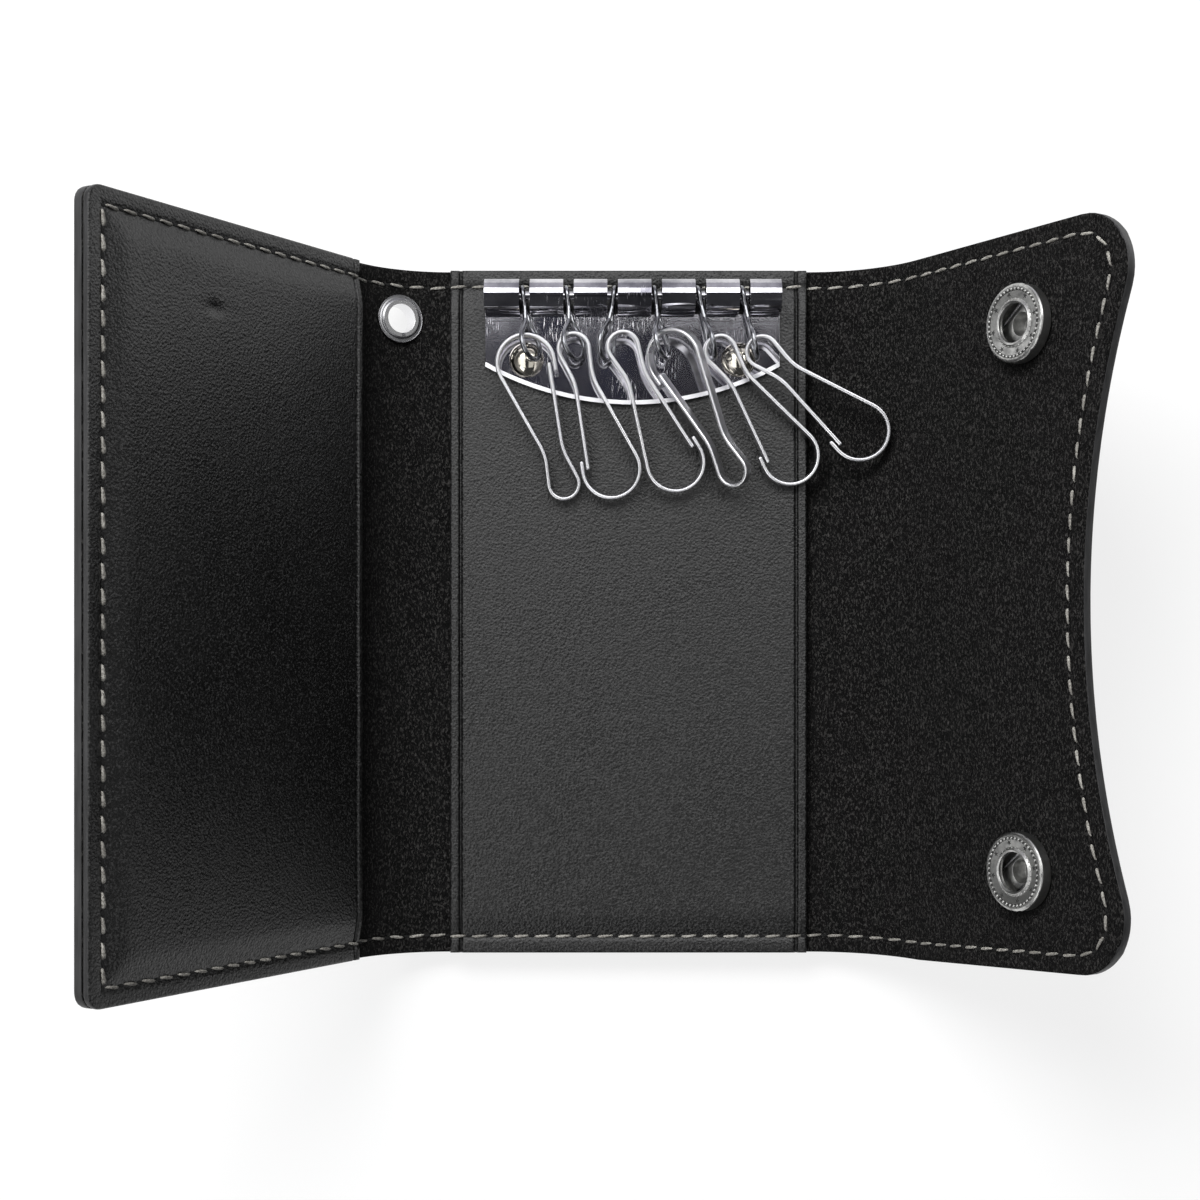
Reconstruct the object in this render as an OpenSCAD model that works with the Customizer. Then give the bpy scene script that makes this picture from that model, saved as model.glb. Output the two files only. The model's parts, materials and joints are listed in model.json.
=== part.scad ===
// Six-hook leather key case, lying open on its back with both flaps risen.
// X runs across the folds, Y along them and Z up from the face it lies on.
// The origin is the middle of the back's resting face.

/* [Leather] */
// Height of the case, along its folds
case_h = 114; // [104:1:130]
// Width of the back between its two folds
back_w = 59.5; // [57:0.5:75]
// Thickness of the outer leather
shell_t = 1.8; // [1.3:0.1:2.2]
// Thickness of the lining leather
lining_t = 1.2; // [0.8:0.1:1.6]
// Room left between the outer leather and a lining
pocket_gap = 0.6; // [0.5:0.1:1]
// Width of the sewn border, where lining and outer leather meet
seam_w = 5; // [4:0.5:7]
// How far both flaps have risen from the table, in degrees
rise = 58; // [45:1:65]

/* [Left flap] */
// Bend radius of the gusset beside the left flap
gusset_r = 17.5; // [15:0.5:20]
// Width of the left flap, from its fold to its free edge
left_w = 59; // [50:0.5:59]
// Corner radius of the left flap
left_corner_r = 2.5; // [1:0.5:6]

/* [Right flap] */
// Bend radius of the wall beside the right flap
wall_r = 20; // [18:0.5:24]
// Width of the right flap at its two horns
right_w = 45.7; // [40:0.5:52]
// Depth of the scoop between the horns
scoop = 9.2; // [4:0.2:12]
// Corner radius of the horns
horn_r = 9; // [6:0.5:12]
// How far the lower edge of the right flap has run in at the horns
run_in = 2.1; // [0:0.1:4]

/* [Key row] */
// Width of the key plate
row_w = 48.9; // [46:0.1:56]
// Distance of the plate's middle to the right of the back's middle
row_x = 0.65; // [-1:0.05:1]
// Gap from the case's top edge to the barrel
row_inset = 2.2; // [1.5:0.1:4]
// Distance from the axle to the plate's lowest edge
plate_h = 17.7; // [16:0.1:22]
// How far the plate's lower edge bows out
plate_bow = 6.3; // [5:0.1:9]
// Thickness of the sheet that the plate is pressed from
sheet_t = 0.8; // [0.6:0.1:0.9]
// Outer diameter of the rolled barrel
barrel_d = 5.5; // [5.2:0.1:6.5]
// Spacing of the slots
slot_pitch = 7.25; // [6.8:0.05:7.8]
// Width of each slot
slot_w = 1.75; // [1.6:0.05:2.2]
// How far the row of slots stands to the right of the plate's middle
slot_shift = 0.3; // [0:0.05:0.6]
// Diameter of the axle wire
axle_d = 1.4; // [1.2:0.1:1.5]
// Distance between the two rivets
rivet_pitch = 35.2; // [32:0.2:38]
// Distance from the axle down to the rivets
rivet_drop = 10.3; // [9.5:0.1:11]
// Diameter of the rivet heads
rivet_head_d = 5.8; // [5:0.2:6.4]
// Diameter of the rivet shanks
rivet_d = 2.4; // [2:0.1:2.8]

/* [Hangers] */
// Wire diameter of the twisted links
link_d = 0.9; // [0.7:0.05:1]
// Radius of a link's upper eye, at the middle of the wire
upper_eye_r = 1.4; // [1.3:0.05:1.5]
// Radius of a link's lower eye, at the middle of the wire
lower_eye_r = 2.75; // [2.6:0.05:3.2]
// Distance between the centres of the two eyes
link_l = 8.3; // [8:0.1:9.5]

/* [Clips] */
// Thickness of the spring strip
strip_t = 0.65; // [0.5:0.05:0.8]
// Depth of the spring strip, square to the clip
strip_w = 1.9; // [1.6:0.1:2.1]
// Radius of a clip's small loop, at the middle of the strip
small_loop_r = 2.5; // [2.4:0.05:3]
// Radius of a clip's big loop, at the middle of the strip
big_loop_r = 4.7; // [4.2:0.05:5]
// Distance between the centres of the two loops
clip_l = 20.7; // [18:0.1:24]
// Half the width of a clip's neck, at the middle of the strip
neck_half = 1.5; // [1.3:0.05:1.9]
// Distance from the small loop's centre down to the neck
neck_drop = 5.4; // [5:0.1:8]
// Length of the lip that the gate strand closes against
lip_l = 2.1; // [1.5:0.1:3]

/* [Snaps] */
// Diameter of a snap's socket
socket_d = 12; // [10:0.2:13]
// Height of a socket over the leather
socket_h = 2.5; // [2.2:0.1:3.2]
// Diameter of the hole in a socket
socket_hole_d = 6; // [5.6:0.1:6.4]
// Diameter of the domed cap behind a socket
cap_d = 12.4; // [11:0.2:14]
// Rise of the cap's dome
cap_rise = 1.7; // [1.2:0.1:2.4]
// Diameter of the ball on a stud
ball_d = 5.2; // [4.8:0.1:5.4]
// Height of a stud over the leather
stud_h = 3.3; // [3:0.1:3.8]
// Diameter of a stud's foot
stud_foot_d = 9.2; // [8:0.2:10]
// Distance between the two snaps
snap_pitch = 83; // [70:0.5:90]
// Distance from the right flap's fold to its snaps
snap_s = 24.6; // [20:0.2:28]
// Wire diameter of the spring in a socket
spring_d = 0.5; // [0.4:0.05:0.6]
// Turn of the springs in their sockets
spring_turn = -52; // [-90:2:90]

/* [Eyelet] */
// Diameter of the hole through the eyelet
eyelet_bore_d = 4.8; // [4:0.1:5.2]
// Diameter of the eyelet's flange and its washer
eyelet_flange_d = 7.9; // [7.4:0.1:9]
// Distance from the case's top edge to the eyelet's centre
eyelet_drop = 8.4; // [7:0.1:14]
// Sheet thickness of the eyelet
eyelet_t = 0.35; // [0.3:0.05:0.4]

/* [Hidden] */

$fn = 64;

// Clearance of pieces that lie against each other
seat = 0.02;
// Running clearance round the axle and the shanks
run_gap = 0.05;
// Gap that the leather pieces leave at a fold
fold_gap = 0.3;
// Angle of the relief behind a fold, which lets it open flat
fold_relief = 16;
// Overrun of cuts
over = 1;

leather_colour = "#2a2a2d";
lining_colour = "#36363a";
nickel_colour = "#c8cbd2";
gunmetal_colour = "#6a6c70";

half_h = case_h / 2;
half_back = back_w / 2;
panel_z = shell_t + pocket_gap;
panel_top = panel_z + lining_t;

// Key row places
axle_y = half_h - row_inset - barrel_d / 2;
axle_z = panel_top + seat + barrel_d / 2;
rivet_y = axle_y - rivet_drop;
plate_top = panel_top + seat + sheet_t;
barrel_in_r = barrel_d / 2 - sheet_t;
plate_r = (pow(row_w / 2, 2) + pow(plate_bow, 2)) / (2 * plate_bow);
land_w = 1.1;
land_t = 0.2;
rim_w = 0.7;
rim_t = 0.25;
roll_end = 224;
slots = 6;
end_web_t = 0.9;
axle_l = row_w - 2 * seat;

// Rivets
rivet_rise = 1.5;
washer_t = 0.45;
washer_d = 6.6;

// Snap places and small sizes
snap_y = run_in / 2;
stud_s = back_w - snap_s;
snap_sheet = 0.45;
tube_r = 2.3;
tube_wall = 0.5;
clinch_r = 2.8;
clinch_t = 0.28;
collar_w = 0.35;
collar_h = 0.75;
edge_round = 0.5;
limb_gap = 4.4;
neck_d = 3.8;
boss_d = 5.8;
boss_h = 1.2;
ball_h = 1.3;
post_d = 2.4;
post_head_d = 8.8;
post_bite = 1.9;

// Eyelet sizes
eyelet_y = half_h - eyelet_drop;
lip_reach = 0.62;
lip_h = 0.4;

// Which way each clip hangs: fan to the right, dip of its far end, roll that lifts its right side
fans = [17.6, 17.4, 24.9, 27.8, 34.4, 51.1];
dips = [4.6, 3.7, 5.8, 0.4, 5.7, 1];
rolls = [-0.4, 2.9, -2.4, 34, -1.1, 9.3];
// 1 where the big loop hangs in the eye, and 1 where the gate is on the right
turned = [1, 0, 0, 1, 0, 0];
flipped = [0, 0, 1, 1, 0, 0];
// Place of the loop that hangs in the eye, from the eye's centre, in radii of that loop
loop_x_shares = [-0.176, -0.004, 1.05, 0.443, 0.64, 0.566];
loop_y_shares = [-0.689, -0.325, -0.3, -0.577, -0.553, -0.63];
loop_z_shares = [-0.14, -0.155, 0.36, 0.05, -0.2, 0.149];
// Lean of each link to the right, its turn between the eyes, and its rise from the plate
leans = [9, 8, -8, 8.1, 13.3, 11.6];
twists = [30.7, 37.8, 24.6, 24.8, -1.6, 3.4];
rises = [9.9, 9.6, 8.7, 14, 10.7, 11.2];
// Sideways place of each link in its slot, in slot widths
slot_shares = [-0.16, -0.15, 0.11, -0.16, -0.16, -0.16];

// Direction at an angle from +X
function dir(a) = [cos(a), sin(a)];

// Point on the bezier bend that rounds the corner b between a and c, reaching d along both sides
function toward(a, b, d) = a + (b - a) * d / norm(b - a);
function bend(a, b, c, d) = [
    for (k = [0 : 4])
        let (t = k / 4, p = toward(b, a, d), q = toward(b, c, d))
        p * (1 - t) * (1 - t) + b * 2 * t * (1 - t) + q * t * t
];

// Leather

// Section of a curved leather wall that starts at the back's right-hand fold
module wall_section(r) {
    half_gap = fold_gap / 2 * 180 / (PI * r);
    relief = shell_t * tan(fold_relief) * 180 / (PI * (r + shell_t));
    a0 = -90 + half_gap;
    a1 = -90 + rise - half_gap;
    in0 = r * dir(a0);
    in1 = r * dir(a1);
    out0 = (r + shell_t) * dir(a0 + relief);
    out1 = (r + shell_t) * dir(a1 - relief);
    translate([half_back, shell_t + r])
        intersection() {
            difference() {
                circle(r + shell_t, $fn = 180);
                circle(r, $fn = 180);
            }
            polygon([
                [0, 0], in0, in0 + (out0 - in0) * 3,
                2 * (r + shell_t) * dir(-90 + rise / 2),
                in1 + (out1 - in1) * 3, in1
            ]);
        }
}

module along_folds() {
    rotate([90, 0, 0])
        linear_extrude(case_h, center = true)
            children();
}

// Puts children on the right-hand side's flap: X away from its fold, Z inwards
module on_flap(r) {
    translate([half_back + r * sin(rise), 0, shell_t + r * (1 - cos(rise))])
        rotate([0, -rise, 0])
            children();
}

module on_right_flap() {
    on_flap(wall_r) children();
}

module on_left_flap() {
    mirror([1, 0, 0]) on_flap(gusset_r) children();
}

// Section of a flat flap, with the relief behind its fold
module flap_section(w) {
    polygon([
        [fold_gap / 2, 0], [w, 0], [w, -shell_t],
        [fold_gap / 2 + shell_t * tan(fold_relief), -shell_t]
    ]);
}

// Quarter-round corner points about a centre
function corner(c, r, a) = [for (k = [0 : 6]) c + r * dir(a + 15 * k)];

module left_outline() {
    r = left_corner_r;
    polygon(concat(
        [[0, half_h], [0, -half_h]],
        corner([left_w - r, -half_h + r], r, -90),
        corner([left_w - r, half_h - r], r, 0)
    ));
}

// One horn's points, from the edge at y = edge to where it meets the scoop
scoop_r = (pow(half_h - horn_r, 2) + pow(scoop, 2)) / (2 * scoop);
scoop_x = right_w - scoop + scoop_r;
function horn(edge) =
    let (
        y = edge - horn_r,
        x = scoop_x - sqrt(pow(scoop_r + horn_r, 2) - y * y),
        last = -atan2(y, scoop_x - x)
    )
    [for (k = [0 : 10]) [x, y] + horn_r * dir(90 + (last - 90) * k / 10)];

// The scoop's angle at the end of a horn
function scoop_end(edge) = asin((edge - horn_r) / (scoop_r + horn_r));

function flip_y(points) = [for (k = [len(points) - 1 : -1 : 0]) [points[k][0], -points[k][1]]];

module right_outline() {
    top_end = scoop_end(half_h);
    low_end = -scoop_end(half_h - run_in);
    polygon(concat(
        [[0, -half_h], [0, half_h]],
        horn(half_h),
        [for (k = [1 : 15])
            let (a = top_end + (low_end - top_end) * k / 16)
            [scoop_x, 0] + scoop_r * [-cos(a), sin(a)]],
        flip_y(horn(half_h - run_in))
    ));
}

module back_shell() {
    color(leather_colour)
        along_folds()
            polygon([
                [half_back - fold_gap / 2, shell_t],
                [-half_back + fold_gap / 2, shell_t],
                [-half_back + fold_gap / 2 + shell_t * tan(fold_relief), 0],
                [half_back - fold_gap / 2 - shell_t * tan(fold_relief), 0]
            ]);
}

module on_gusset() {
    mirror([1, 0, 0])
        translate([half_back, eyelet_y, shell_t + gusset_r])
            rotate([0, -rise / 2, 0])
                translate([0, 0, -gusset_r])
                    children();
}

module gusset_shell() {
    color(leather_colour)
        difference() {
            mirror([1, 0, 0])
                along_folds()
                    wall_section(gusset_r);
            on_gusset()
                translate([0, 0, -shell_t - over])
                    cylinder(h = shell_t + 2 * over, r = eyelet_bore_d / 2 + eyelet_t + run_gap);
        }
}

module right_wall_shell() {
    color(leather_colour)
        along_folds()
            wall_section(wall_r);
}

module left_flap_shell() {
    color(leather_colour)
        on_left_flap()
            difference() {
                intersection() {
                    along_folds() flap_section(left_w);
                    translate([0, 0, -shell_t - over])
                        linear_extrude(shell_t + 2 * over) left_outline();
                }
                at_snaps(stud_s)
                    translate([0, 0, -shell_t - over])
                        cylinder(h = shell_t + 2 * over, r = post_d / 2 + run_gap);
            }
}

module right_flap_shell() {
    color(leather_colour)
        on_right_flap()
            difference() {
                intersection() {
                    along_folds() flap_section(right_w + over);
                    translate([0, 0, -shell_t - over])
                        linear_extrude(shell_t + 2 * over) right_outline();
                }
                at_snaps(snap_s)
                    translate([0, 0, -shell_t - over])
                        cylinder(h = shell_t + 2 * over, r = tube_r + run_gap);
            }
}

// The lining over the back, sewn down at its top and bottom
module key_panel() {
    color(lining_colour)
        difference() {
            union() {
                translate([-half_back, -half_h, panel_z])
                    cube([back_w, case_h, lining_t]);
                for (y = [-half_h, half_h - seam_w])
                    translate([-half_back + fold_gap, y, shell_t + seat])
                        cube([back_w - 2 * fold_gap, seam_w, pocket_gap]);
            }
            at_rivets()
                translate([0, 0, panel_z - over])
                    cylinder(h = lining_t + 2 * over, r = rivet_d / 2 + run_gap);
        }
}

// The lining of the left flap, sewn down on three sides and open at the fold
module left_flap_lining() {
    color(lining_colour)
        on_left_flap()
            translate([0, 0, seat])
                difference() {
                    linear_extrude(pocket_gap + lining_t) left_outline();
                    translate([-over, -half_h + seam_w, -over])
                        cube([left_w - seam_w + over, case_h - 2 * seam_w, pocket_gap + over]);
                    translate([-over, -half_h - over, -over])
                        cube([over + fold_gap, case_h + 2 * over, pocket_gap + lining_t + 2 * over]);
                }
}

// Key row

// Section of the pressed sheet: plate, land and barrel, with Y of the section upwards
module sheet_section() {
    bottom = -barrel_d / 2;
    translate([0, bottom]) {
        translate([-plate_h, 0]) square([plate_h, sheet_t]);
        translate([-barrel_d / 2 - land_w, 0]) square([barrel_d / 2, sheet_t + land_t]);
    }
    difference() {
        circle(d = barrel_d);
        circle(r = barrel_in_r);
        // The roll stops where it comes back to the plate
        polygon([
            [0, 0], 2 * barrel_d * dir(roll_end), 2 * barrel_d * dir(roll_end + 12),
            2 * barrel_d * dir(270), [0, 0]
        ]);
    }
}

module barrel_slots() {
    for (i = [0 : slots - 1])
        translate([link_x(i) - slot_w / 2, -barrel_d / 2, -barrel_d])
            cube([slot_w, barrel_d + over, 2 * barrel_d]);
}

function link_x(i) = slot_shift + (i - (slots - 1) / 2) * slot_pitch;

module key_plate() {
    color(nickel_colour)
        translate([row_x, axle_y, axle_z])
            difference() {
                union() {
                    intersection() {
                        rotate([90, 0, 90])
                            linear_extrude(row_w, center = true)
                                sheet_section();
                        plate_outline(0);
                    }
                    // The turned rim along the lower edge
                    translate([0, 0, -barrel_d / 2 + sheet_t - seat])
                        intersection() {
                            difference() {
                                plate_blank(0, rim_t + seat);
                                plate_blank(rim_w, rim_t + seat + over);
                            }
                            translate([-row_w / 2, -plate_h, 0])
                                cube([row_w, plate_bow + rim_w, rim_t + seat]);
                        }
                    // The ends are pinched in on the axle
                    for (x = [-row_w / 2, row_w / 2 - end_web_t])
                        translate([x, 0, 0])
                            rotate([0, 90, 0])
                                cylinder(h = end_web_t, r = barrel_in_r + seat);
                }
                barrel_slots();
                rotate([0, 90, 0])
                    cylinder(h = row_w + 2 * over, r = axle_d / 2 + run_gap, center = true);
                for (x = [-rivet_pitch / 2, rivet_pitch / 2])
                    translate([x, -rivet_drop, -barrel_d])
                        cylinder(h = 2 * barrel_d, r = rivet_d / 2 + run_gap);
            }
}

// The plate's outline with its bowed lower edge, as a tall block and as a thin one
module plate_shape(inset) {
    intersection() {
        translate([-row_w / 2, -plate_h])
            square([row_w, plate_h + barrel_d]);
        translate([0, plate_r - plate_h])
            circle(r = plate_r - inset, $fn = 180);
    }
}

module plate_blank(inset, h) {
    linear_extrude(h) plate_shape(inset);
}

module plate_outline(inset) {
    translate([0, 0, -barrel_d])
        linear_extrude(2 * barrel_d) plate_shape(inset);
}

module axle() {
    color(nickel_colour)
        translate([row_x, axle_y, axle_z])
            rotate([0, 90, 0])
                cylinder(h = axle_l, r = axle_d / 2, center = true);
}

module at_rivets() {
    for (x = [-rivet_pitch / 2, rivet_pitch / 2])
        translate([row_x + x, rivet_y, 0])
            children();
}

// A rivet: domed head on the plate and a shank down to its washer
module rivet(side) {
    dome_r = (pow(rivet_head_d / 2, 2) + pow(rivet_rise, 2)) / (2 * rivet_rise);
    color(nickel_colour)
        translate([row_x + side * rivet_pitch / 2, rivet_y, plate_top + seat])
            union() {
                intersection() {
                    translate([0, 0, rivet_rise - dome_r]) sphere(dome_r);
                    cylinder(h = rivet_rise + over, r = rivet_head_d / 2);
                }
                translate([0, 0, -rivet_shank()])
                    cylinder(h = rivet_shank() + seat, r = rivet_d / 2);
            }
}

function rivet_shank() = plate_top + seat - shell_t - seat;

module rivet_washer(side) {
    color(nickel_colour)
        translate([row_x + side * rivet_pitch / 2, rivet_y, panel_z - seat - washer_t])
            difference() {
                cylinder(h = washer_t, r = washer_d / 2);
                translate([0, 0, -over])
                    cylinder(h = washer_t + 2 * over, r = rivet_d / 2 + run_gap);
            }
}

// Hangers

// One strand of a link, from the top of its upper eye to the foot of its lower one,
// as distance from the axle and half width
waist_half = link_d / 2 + run_gap;
upper_end = 125;
lower_start = 50;
waist_from = upper_eye_r * -cos(upper_end)
    + (upper_eye_r * sin(upper_end) - waist_half) * tan(upper_end - 90 + 20);
waist_to = link_l - lower_eye_r * cos(lower_start)
    - (lower_eye_r * sin(lower_start) - waist_half) * tan(lower_start);
strand = concat(
    [for (k = [0 : 5]) let (a = upper_end * k / 5) upper_eye_r * [-cos(a), sin(a)]],
    [for (k = [0 : 4]) [waist_from + (waist_to - waist_from) * k / 4, waist_half]],
    [for (k = [0 : 7])
        let (a = lower_start + (180 - lower_start) * k / 7)
        [link_l, 0] + lower_eye_r * [-cos(a), sin(a)]]
);

// The whole wire: down one strand and up the other
wire = concat(strand, [for (k = [len(strand) - 2 : -1 : 1]) [strand[k][0], -strand[k][1]]]);

// Turn of the strands at a distance from the axle
function smooth(t) = t * t * (3 - 2 * t);
function turn_at(s, twist) =
    twist * smooth(max(0, min(1, (s - waist_from) / (waist_to - waist_from))));
function wire_point(k, twist) =
    let (p = wire[k % len(wire)], a = turn_at(p[0], twist))
    [-p[1] * sin(a), -p[0], p[1] * cos(a)];
function unit(v) = v / norm(v);

// The ring of points round the wire at step k
sides = 8;
function wire_ring(k, twist) =
    let (
        n = len(wire),
        t = unit(wire_point((k + 1) % n, twist) - wire_point((k + n - 1) % n, twist)),
        a = turn_at(wire[k][0], twist),
        flat = [cos(a), 0, sin(a)],
        u = unit(flat - t * (flat * t)),
        v = cross(t, u)
    )
    [for (j = [0 : sides - 1])
        wire_point(k, twist) + link_d / 2 * (u * cos(360 * j / sides) + v * sin(360 * j / sides))];

module link(twist) {
    n = len(wire);
    points = [for (k = [0 : n - 1]) each wire_ring(k, twist)];
    faces = [
        for (k = [0 : n - 1], j = [0 : sides - 1])
            let (k2 = (k + 1) % n, j2 = (j + 1) % sides)
            each [
                [k * sides + j, k * sides + j2, k2 * sides + j2],
                [k * sides + j, k2 * sides + j2, k2 * sides + j]
            ]
    ];
    polyhedron(points, faces);
}

module at_link(i) {
    translate([row_x + link_x(i) + slot_shares[i] * slot_w, axle_y, axle_z])
        rotate([-rises[i], 0, 0])
            rotate([0, 0, leans[i]])
                children();
}

function eye_centre(i) = [
    row_x + link_x(i) + slot_shares[i] * slot_w + link_l * sin(leans[i]),
    axle_y - link_l * cos(leans[i]) * cos(rises[i]),
    axle_z + link_l * cos(leans[i]) * sin(rises[i])
];

module hanger(i) {
    color(nickel_colour)
        at_link(i) link(twists[i]);
}

// Clips

// Where the tangent from p touches a circle, on the side that s gives
function touch(p, c, r, s) =
    let (v = p - c, a = atan2(v[1], v[0]))
    c + r * dir(a + s * acos(r / norm(v)));
function angle_about(c, p) = atan2(p[1] - c[1], p[0] - c[0]);
function sweep(c, r, from, to, steps) =
    [for (k = [0 : steps]) c + r * dir(from + (to - from) * k / steps)];

gate_spread = 8.6;
neck_bend = 1.7;
tip_drop = 1;
lip_turn = 8;

// The middle line of the strip: gate strand, small loop, far strand, big loop and lip
clip_path =
    let (
        big = [0, -clip_l],
        nl = [-neck_half, -neck_drop],
        nr = [neck_half, -neck_drop],
        tip_y = clip_l - tip_drop,
        tip = [-neck_half - (tip_y - neck_drop) * tan(gate_spread), -tip_y],
        small_l = touch(nl, [0, 0], small_loop_r, -1),
        small_r = touch(nr, [0, 0], small_loop_r, 1),
        big_r = touch(nr, big, big_loop_r, -1),
        a_l = angle_about([0, 0], small_l),
        a_r = angle_about([0, 0], small_r),
        b_r = angle_about(big, big_r),
        b_l = -180 - lip_turn,
        lip = big + big_loop_r * dir(b_l)
    )
    concat(
        [tip],
        bend(tip, nl, small_l, neck_bend),
        sweep([0, 0], small_loop_r, a_l < 0 ? a_l + 360 : a_l, a_r, 18),
        bend(small_r, nr, big_r, neck_bend),
        sweep(big, big_loop_r, b_r, b_l, 22),
        [lip + lip_l * dir(90 - lip_turn)]
    );

function path_normal(p, k) =
    let (a = p[max(k - 1, 0)], b = p[min(k + 1, len(p) - 1)], t = unit(b - a))
    [-t[1], t[0]];

module strip(path, t, w) {
    n = len(path);
    translate([0, 0, -w / 2])
        linear_extrude(w)
            polygon(concat(
                [for (k = [0 : n - 1]) path[k] + path_normal(path, k) * t / 2],
                [for (k = [n - 1 : -1 : 0]) path[k] - path_normal(path, k) * t / 2]
            ));
}

// Puts the loop that hangs in the eye at the origin
module hung_clip(i) {
    mirror([flipped[i], 0, 0])
        rotate([0, 0, 180 * turned[i]])
            translate([0, clip_l * turned[i], 0])
                strip(clip_path, strip_t, strip_w);
}

function hung_r(i) = turned[i] == 1 ? big_loop_r : small_loop_r;

module clip(i) {
    color(nickel_colour)
        translate(eye_centre(i) + hung_r(i) * [loop_x_shares[i], loop_y_shares[i], loop_z_shares[i]])
            rotate([0, 0, fans[i]])
                rotate([dips[i], 0, 0])
                    rotate([0, -rolls[i], 0])
                        hung_clip(i);
}

// Snaps

module at_snaps(s) {
    for (y = [-1, 1])
        translate([s, snap_y + y * snap_pitch / 2, 0])
            children();
}

// Sides: 1 is the top snap and -1 the bottom one
module at_snap(s, side) {
    translate([s, snap_y + side * snap_pitch / 2, 0])
        children();
}

// The socket: a hollow ring, closed at its rim and open towards the hole
module snap_socket(side) {
    r = socket_d / 2;
    hole_r = socket_hole_d / 2;
    t = snap_sheet;
    color(gunmetal_colour)
        on_right_flap() at_snap(snap_s, side) translate([0, 0, seat])
            rotate_extrude($fn = 96)
                polygon(concat(
                    [[tube_r + run_gap, 0], [r - edge_round, 0], [r, edge_round]],
                    [for (k = [0 : 4])
                        [r - edge_round, socket_h - edge_round] + edge_round * dir(90 * k / 4)],
                    [[hole_r + 2 * collar_w, socket_h - t / 2],
                        [hole_r + collar_w, socket_h + collar_w / 2], [hole_r, socket_h],
                        [hole_r, socket_h - collar_h], [hole_r + collar_w, socket_h - collar_h],
                        [hole_r + collar_w, socket_h - t - collar_w / 2],
                        [r - t - edge_round, socket_h - t], [r - t, socket_h - t - edge_round],
                        [r - t, t], [tube_r + run_gap, t]]
                ));
}

// The cap: a dome on the outside and a tube through the leather, clinched in the socket
module snap_cap(side) {
    dome_r = (pow(cap_d / 2, 2) + pow(cap_rise, 2)) / (2 * cap_rise);
    half_angle = asin(cap_d / 2 / dome_r);
    foot = -shell_t - seat;
    clinch_z = seat + snap_sheet + seat;
    color(gunmetal_colour)
        on_right_flap() at_snap(snap_s, side)
            rotate_extrude($fn = 96)
                polygon(concat(
                    [for (k = [0 : 8])
                        [0, foot - cap_rise + dome_r] + dome_r * dir(-90 + half_angle * k / 8)],
                    [[tube_r, foot], [tube_r, clinch_z], [clinch_r, clinch_z],
                        [clinch_r, clinch_z + clinch_t], [tube_r - tube_wall, clinch_z + clinch_t],
                        [tube_r - tube_wall, foot], [0, foot]]
                ));
}

// The spring: one wire bent to two limbs, which grip the stud's neck
module snap_spring(side) {
    limb_x = limb_gap / 2;
    loop_r = socket_d / 2 - snap_sheet - spring_d;
    half_limb = sqrt(loop_r * loop_r - limb_x * limb_x);
    bow = atan2(half_limb, limb_x);
    z = 2 * seat + snap_sheet + seat + clinch_t + spring_d / 2 + run_gap;
    color(nickel_colour)
        on_right_flap() at_snap(snap_s, side) translate([0, 0, z]) rotate([0, 0, spring_turn])
            union() {
                for (x = [-limb_x, limb_x])
                    translate([x, 0, 0])
                        rotate([90, 0, 0])
                            cylinder(h = 2 * half_limb, r = spring_d / 2, center = true, $fn = 24);
                rotate([0, 0, bow])
                    rotate_extrude(angle = 180 - 2 * bow, $fn = 96)
                        translate([loop_r, 0])
                            circle(r = spring_d / 2, $fn = 24);
            }
}

// The stud on the left flap's outer face, bored for its post
module snap_stud(side) {
    neck_z = boss_h + (stud_h - boss_h - ball_h) / 2;
    ball_r = ball_d / 2;
    color(gunmetal_colour)
        on_left_flap() at_snap(stud_s, side)
            translate([0, 0, -shell_t - seat])
                rotate([180, 0, 0])
                    rotate_extrude($fn = 64)
                        polygon(concat(
                            [[post_d / 2 + run_gap, 0], [stud_foot_d / 2, 0],
                                [stud_foot_d / 2, snap_sheet], [boss_d / 2, snap_sheet * 2],
                                [boss_d / 2, boss_h - snap_sheet / 2], [neck_d / 2, boss_h],
                                [neck_d / 2, neck_z]],
                            [for (k = [0 : 5])
                                [ball_r - ball_h / 2, stud_h - ball_h / 2] +
                                    ball_h / 2 * dir(-60 + 150 * k / 5)],
                            [[0, stud_h], [0, post_bite + run_gap],
                                [post_d / 2 + run_gap, post_bite + run_gap]]
                        ));
}

// The post: a flat head under the lining and a shank up into the stud
module stud_post(side) {
    color(nickel_colour)
        on_left_flap() at_snap(stud_s, side)
            union() {
                translate([0, 0, seat])
                    cylinder(h = snap_sheet, r = post_head_d / 2);
                translate([0, 0, -shell_t - seat - post_bite])
                    cylinder(h = shell_t + 2 * seat + post_bite + snap_sheet / 2, r = post_d / 2);
            }
}

// Eyelet

// How far the curved leather rises at the washer's edge
washer_lift = gusset_r - sqrt(pow(gusset_r, 2) - pow(eyelet_flange_d / 2, 2)) + seat;

module eyelet() {
    r = eyelet_bore_d / 2;
    low = -shell_t - seat;
    high = washer_lift + eyelet_t + seat;
    color(nickel_colour)
        on_gusset()
            rotate_extrude($fn = 96)
                polygon([
                    [r, low - eyelet_t], [eyelet_flange_d / 2 - eyelet_t, low - eyelet_t],
                    [eyelet_flange_d / 2, low - eyelet_t / 2], [eyelet_flange_d / 2, low],
                    [r + eyelet_t, low], [r + eyelet_t, high], [r + eyelet_t + lip_reach, high],
                    [r + eyelet_t + lip_reach, high + lip_h / 2],
                    [r + eyelet_t + lip_reach / 2, high + lip_h], [r, high + lip_h]
                ]);
}

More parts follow.
